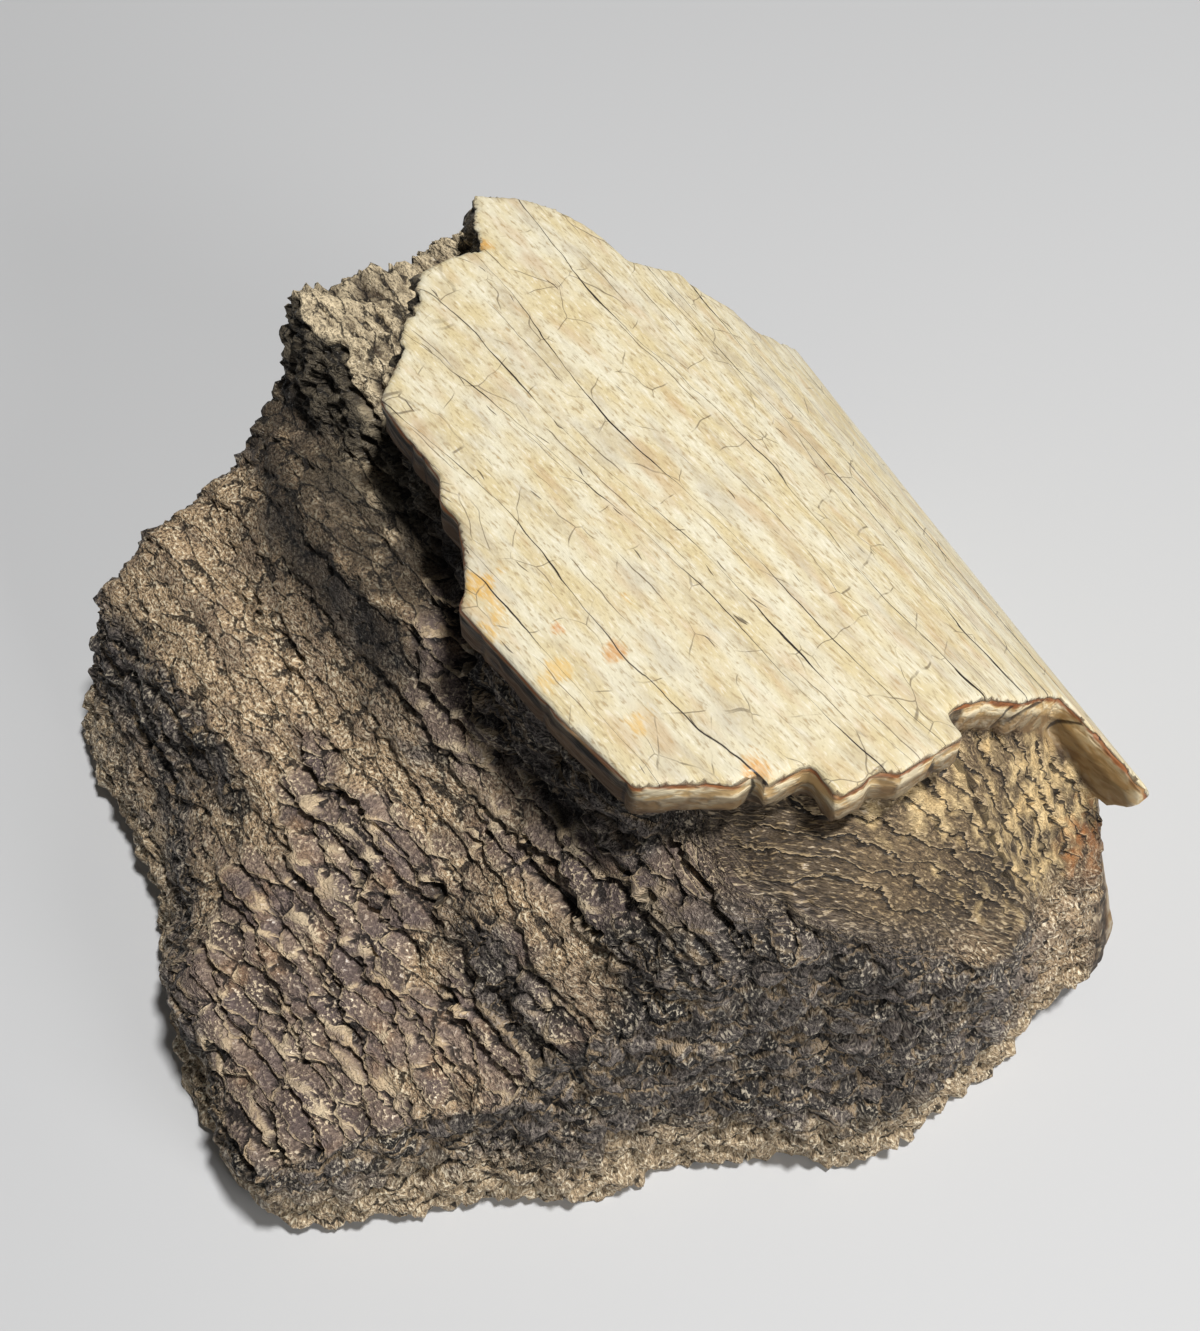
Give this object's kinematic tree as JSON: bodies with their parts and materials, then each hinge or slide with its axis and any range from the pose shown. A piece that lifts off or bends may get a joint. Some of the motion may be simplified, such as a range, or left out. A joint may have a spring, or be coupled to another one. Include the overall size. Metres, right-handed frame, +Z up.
{
  "type": "fossil bone fragment",
  "caption": "Broken piece of fossil limb bone: a curved plate of pale cortex over a dark spongy body, lying on a flat base.",
  "frame": {"origin": "bottom centre of the bounding box, on the surface that the fragment lies on", "axes": "+Z up; +X along the bone's grain, towards the end with the stepped break; +Y towards the side where the cortex rolls over and down"},
  "size_m": [0.0918, 0.0948, 0.051],
  "materials": {
    "fossil_bone": "matt mineralised bone: cream cortex with fine cracks, dark brown-grey spongy bone with tan ridges"
  },
  "bodies": {
    "root": {"bone_fragment": "fossil_bone"}
  },
  "joints": []
}
